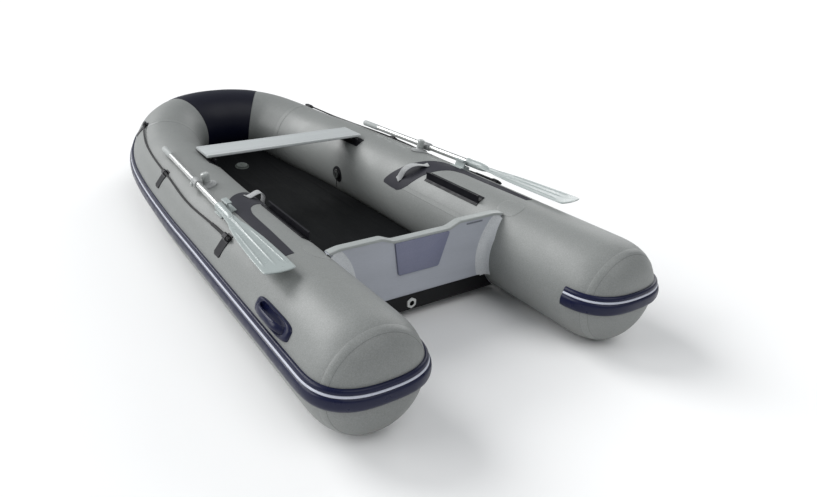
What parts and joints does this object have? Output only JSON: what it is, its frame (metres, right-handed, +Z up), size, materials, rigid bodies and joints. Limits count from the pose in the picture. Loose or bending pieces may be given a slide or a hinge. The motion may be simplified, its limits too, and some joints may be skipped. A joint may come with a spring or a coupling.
{
  "type": "inflatable dinghy",
  "caption": "Inflatable dinghy: side and bow tubes, inflated floor, board transom with a motor pad, sliding plank seat, stowed oars on swivelling locks, grab lines, valves and a drain.",
  "frame": {"origin": "centre of the footprint box, at the lowest line of the tubes", "axes": "+Y towards the bow, +X to starboard, +Z up"},
  "size_m": [1.566, 3.193, 0.5104],
  "materials": {
    "baffle_fabric": "plain grey coated fabric",
    "bottom_black": "black coated fabric, semi-matt",
    "bow_patch_navy": "navy coated fabric, semi-matt",
    "cap_light_grey": "light grey extruded plastic",
    "chafe_charcoal": "charcoal woven-texture wear patch",
    "clip_grey": "grey moulded plastic",
    "drain_light_grey": "light grey moulded plastic",
    "drain_plug_black": "black moulded plastic",
    "floor_charcoal": "charcoal coated fabric, semi-matt",
    "grip_grey": "grey soft grip",
    "handle_navy": "navy moulded rubber, satin",
    "holder_black": "black moulded rubber",
    "hull_fabric": "light warm grey coated fabric, semi-matt",
    "keeper_plastic": "grey moulded plastic",
    "lock_base_grey": "grey moulded rubber",
    "lock_head_grey": "grey moulded plastic, glossy",
    "motor_pad_grey": "blue-grey moulded plastic, satin",
    "oar_plastic": "pale grey moulded plastic",
    "oar_shaft_aluminium": "bright anodised",
    "rail_black": "black extruded rubber",
    "rope_black": "black braided rope",
    "seat_paint_grey": "light grey paint, satin",
    "strake_navy": "navy extruded rubber with a pale stripe",
    "strap_light_grey": "light grey webbing",
    "transom_board_grey": "light blue-grey paint, satin",
    "valve_black": "black moulded plastic",
    "valve_cap_grey": "grey moulded plastic",
    "valve_plunger_white": "white moulded plastic"
  },
  "bodies": {
    "hull": {"air_floor": "floor_charcoal", "baffle_port": "baffle_fabric", "baffle_starboard": "baffle_fabric", "bottom_fabric": "bottom_black", "bow_centre": "hull_fabric", "bow_patch": "bow_patch_navy", "bow_quarter_port": "hull_fabric", "bow_quarter_starboard": "hull_fabric", "chafe_patch_port": "chafe_charcoal", "chafe_patch_starboard": "chafe_charcoal", "drain_body": "drain_light_grey", "grab_line_port": "rope_black", "grab_line_starboard": "rope_black", "lifting_handle_port": "handle_navy", "lifting_handle_starboard": "handle_navy", "motor_pad": "motor_pad_grey", "oar_keeper_port": "keeper_plastic", "oar_keeper_starboard": "keeper_plastic", "oarlock_base_port": "lock_base_grey", "oarlock_base_starboard": "lock_base_grey", "rope_holder_aft_port": "holder_black", "rope_holder_aft_starboard": "holder_black", "rope_holder_forward_port": "holder_black", "rope_holder_forward_starboard": "holder_black", "rope_holder_middle_port": "holder_black", "rope_holder_middle_starboard": "holder_black", "seat_rail_aft_port": "rail_black", "seat_rail_aft_starboard": "rail_black", "seat_rail_forward_port": "rail_black", "seat_rail_forward_starboard": "rail_black", "side_tube_port": "hull_fabric", "side_tube_starboard": "hull_fabric", "strake_port": "strake_navy", "strake_starboard": "strake_navy", "strap_handle_port": "strap_light_grey", "strap_handle_starboard": "strap_light_grey", "tail_cone_port": "hull_fabric", "tail_cone_starboard": "hull_fabric", "transom_board": "transom_board_grey", "transom_cap": "cap_light_grey", "valve_body_floor": "valve_black", "valve_body_port": "valve_black", "valve_body_starboard": "valve_black"},
    "seat": {"seat_plank": "seat_paint_grey", "seat_clip_port": "clip_grey", "seat_clip_starboard": "clip_grey"},
    "oar_lock_port": {"oarlock_head_port": "lock_head_grey"},
    "oar_port": {"oar_shaft_port": "oar_shaft_aluminium", "oar_grip_port": "grip_grey", "oar_blade_port": "oar_plastic"},
    "valve_plunger_port": {"valve_plunger_port": "valve_plunger_white"},
    "oar_lock_starboard": {"oarlock_head_starboard": "lock_head_grey"},
    "oar_starboard": {"oar_shaft_starboard": "oar_shaft_aluminium", "oar_grip_starboard": "grip_grey", "oar_blade_starboard": "oar_plastic"},
    "valve_plunger_starboard": {"valve_plunger_starboard": "valve_plunger_white"},
    "valve_cap_port": {"valve_cap_port": "valve_cap_grey"},
    "valve_cap_starboard": {"valve_cap_starboard": "valve_cap_grey"},
    "valve_cap_floor": {"valve_cap_floor": "valve_cap_grey"},
    "drain_plug": {"drain_plug": "drain_plug_black"}
  },
  "joints": [
    {"name": "seat_slide", "type": "slide", "parent": "hull", "child": "seat", "axis": [0, 1, 0], "range_m": [-0.05, 0.07]},
    {"name": "oar_swing_port", "type": "hinge", "parent": "hull", "child": "oar_lock_port", "pos_m": [-0.59502, -0.15529, 0.41614], "axis": [0.1908, -0.001, -0.9816], "range_deg": [0, 120]},
    {"name": "oar_swing_starboard", "type": "hinge", "parent": "hull", "child": "oar_lock_starboard", "pos_m": [0.59502, -0.15529, 0.41614], "axis": [0.1908, 0.001, 0.9816], "range_deg": [0, 120]},
    {"name": "oar_dip_port", "type": "hinge", "parent": "oar_lock_port", "child": "oar_port", "pos_m": [-0.64451, -0.15526, 0.43647], "axis": [-0.9816, 0, -0.1908], "range_deg": [0, 1.3]},
    {"name": "oar_dip_starboard", "type": "hinge", "parent": "oar_lock_starboard", "child": "oar_starboard", "pos_m": [0.64451, -0.15526, 0.43647], "axis": [-0.9816, 0, 0.1908], "range_deg": [0, 1.3]},
    {"name": "valve_cap_turn_port", "type": "hinge", "parent": "hull", "child": "valve_cap_port", "pos_m": [-0.33401, 0.27083, 0.19535], "axis": [0.9967, -0.0413, -0.0698], "range_deg": [0, 90]},
    {"name": "valve_cap_turn_starboard", "type": "hinge", "parent": "hull", "child": "valve_cap_starboard", "pos_m": [0.33401, 0.27083, 0.19535], "axis": [-0.9967, -0.0413, -0.0698], "range_deg": [0, 90]},
    {"name": "valve_cap_turn_floor", "type": "hinge", "parent": "hull", "child": "valve_cap_floor", "pos_m": [-0.014, 0.8985, 0.11138], "axis": [0, -0.1183, 0.993], "range_deg": [0, 90]},
    {"name": "valve_press_port", "type": "slide", "parent": "hull", "child": "valve_plunger_port", "axis": [-0.9967, 0.0413, 0.0698], "range_m": [0, 0.006], "stiffness_N_per_m": 400},
    {"name": "valve_press_starboard", "type": "slide", "parent": "hull", "child": "valve_plunger_starboard", "axis": [0.9967, 0.0413, 0.0698], "range_m": [0, 0.006], "stiffness_N_per_m": 400},
    {"name": "drain_plug_turn", "type": "hinge", "parent": "hull", "child": "drain_plug", "pos_m": [-0.031, -0.9515, 0.0735], "axis": [0, 1, 0], "range_deg": [0, 360]}
  ]
}
